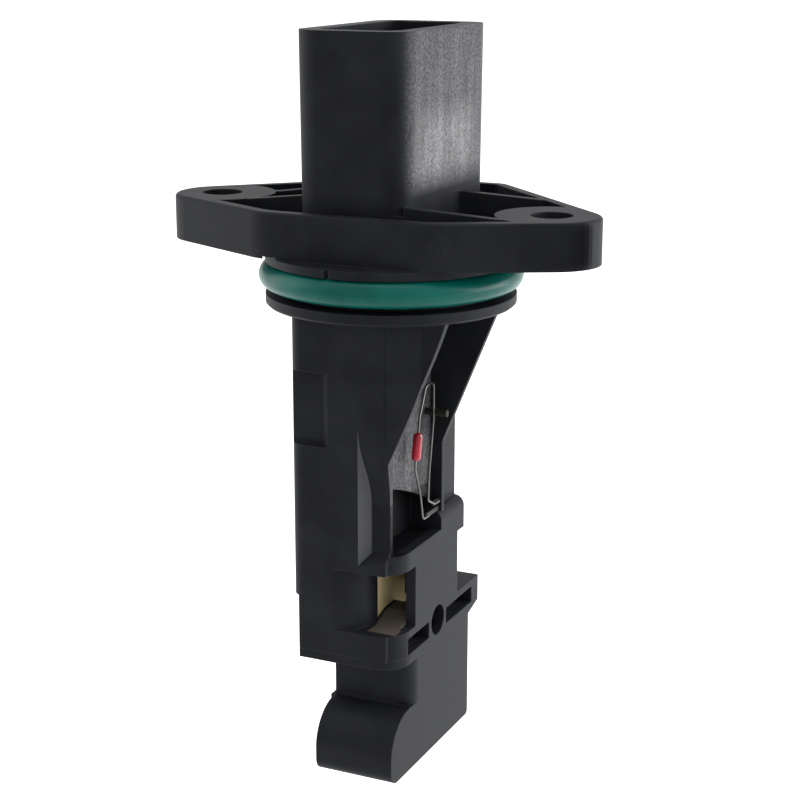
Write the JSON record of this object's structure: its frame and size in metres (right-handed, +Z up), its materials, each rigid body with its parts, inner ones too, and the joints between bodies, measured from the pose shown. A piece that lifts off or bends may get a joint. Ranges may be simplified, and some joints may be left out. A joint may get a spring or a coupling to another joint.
{
  "type": "mass airflow sensor",
  "caption": "Plug-in mass airflow sensor with a screw-on flange, a sealed round neck, a plug shroud, an air channel with its inlet window and an air temperature bead.",
  "frame": {"origin": "centre of the round spigot on the underside of the flange, the face that meets the duct", "axes": "+Z up to the plug, X along the line of the two screw holes, air flows along +Y"},
  "size_m": [0.061, 0.0423, 0.099],
  "materials": {
    "housing_plastic": "moulded black glass-filled plastic",
    "seal_rubber": "smooth green rubber",
    "channel_plastic": "moulded black plastic",
    "cover_plastic": "moulded black plastic",
    "lid_plastic": "moulded black plastic",
    "plate_metal": "yellow passivated sheet",
    "board_ceramic": "fired ceramic",
    "chip_resin": "moulded resin",
    "power_chip_resin": "moulded resin",
    "capacitor_ceramic": "fired ceramic",
    "resistor_ceramic": "glazed dark",
    "ribbon_metal": "bright strip",
    "flex_film": "amber film",
    "holder_plastic": "moulded black plastic",
    "chip_silicon": "polished",
    "bead_glass": "glossy red",
    "long_lead_metal": "tinned wire",
    "short_lead_metal": "tinned wire",
    "tab_front_metal": "tinned strip",
    "tab_rear_metal": "tinned strip",
    "terminal_metal": "tinned blade"
  },
  "bodies": {
    "root": {"sensor_housing": "housing_plastic", "seal_ring": "seal_rubber", "channel_housing": "channel_plastic", "channel_cover": "cover_plastic", "electronics_cover": "lid_plastic", "base_plate": "plate_metal", "circuit_board": "board_ceramic", "signal_chip": "chip_resin", "power_chip": "power_chip_resin", "board_capacitors": "capacitor_ceramic", "board_resistors": "resistor_ceramic", "bond_ribbons": "ribbon_metal", "sensor_flex": "flex_film", "sensor_holder": "holder_plastic", "sensing_chip": "chip_silicon", "thermistor_bead": "bead_glass", "thermistor_long_lead": "long_lead_metal", "thermistor_short_lead": "short_lead_metal", "thermistor_tab_front": "tab_front_metal", "thermistor_tab_rear": "tab_rear_metal", "terminal_1": "terminal_metal", "terminal_2": "terminal_metal", "terminal_3": "terminal_metal", "terminal_4": "terminal_metal", "terminal_5": "terminal_metal"}
  },
  "joints": []
}
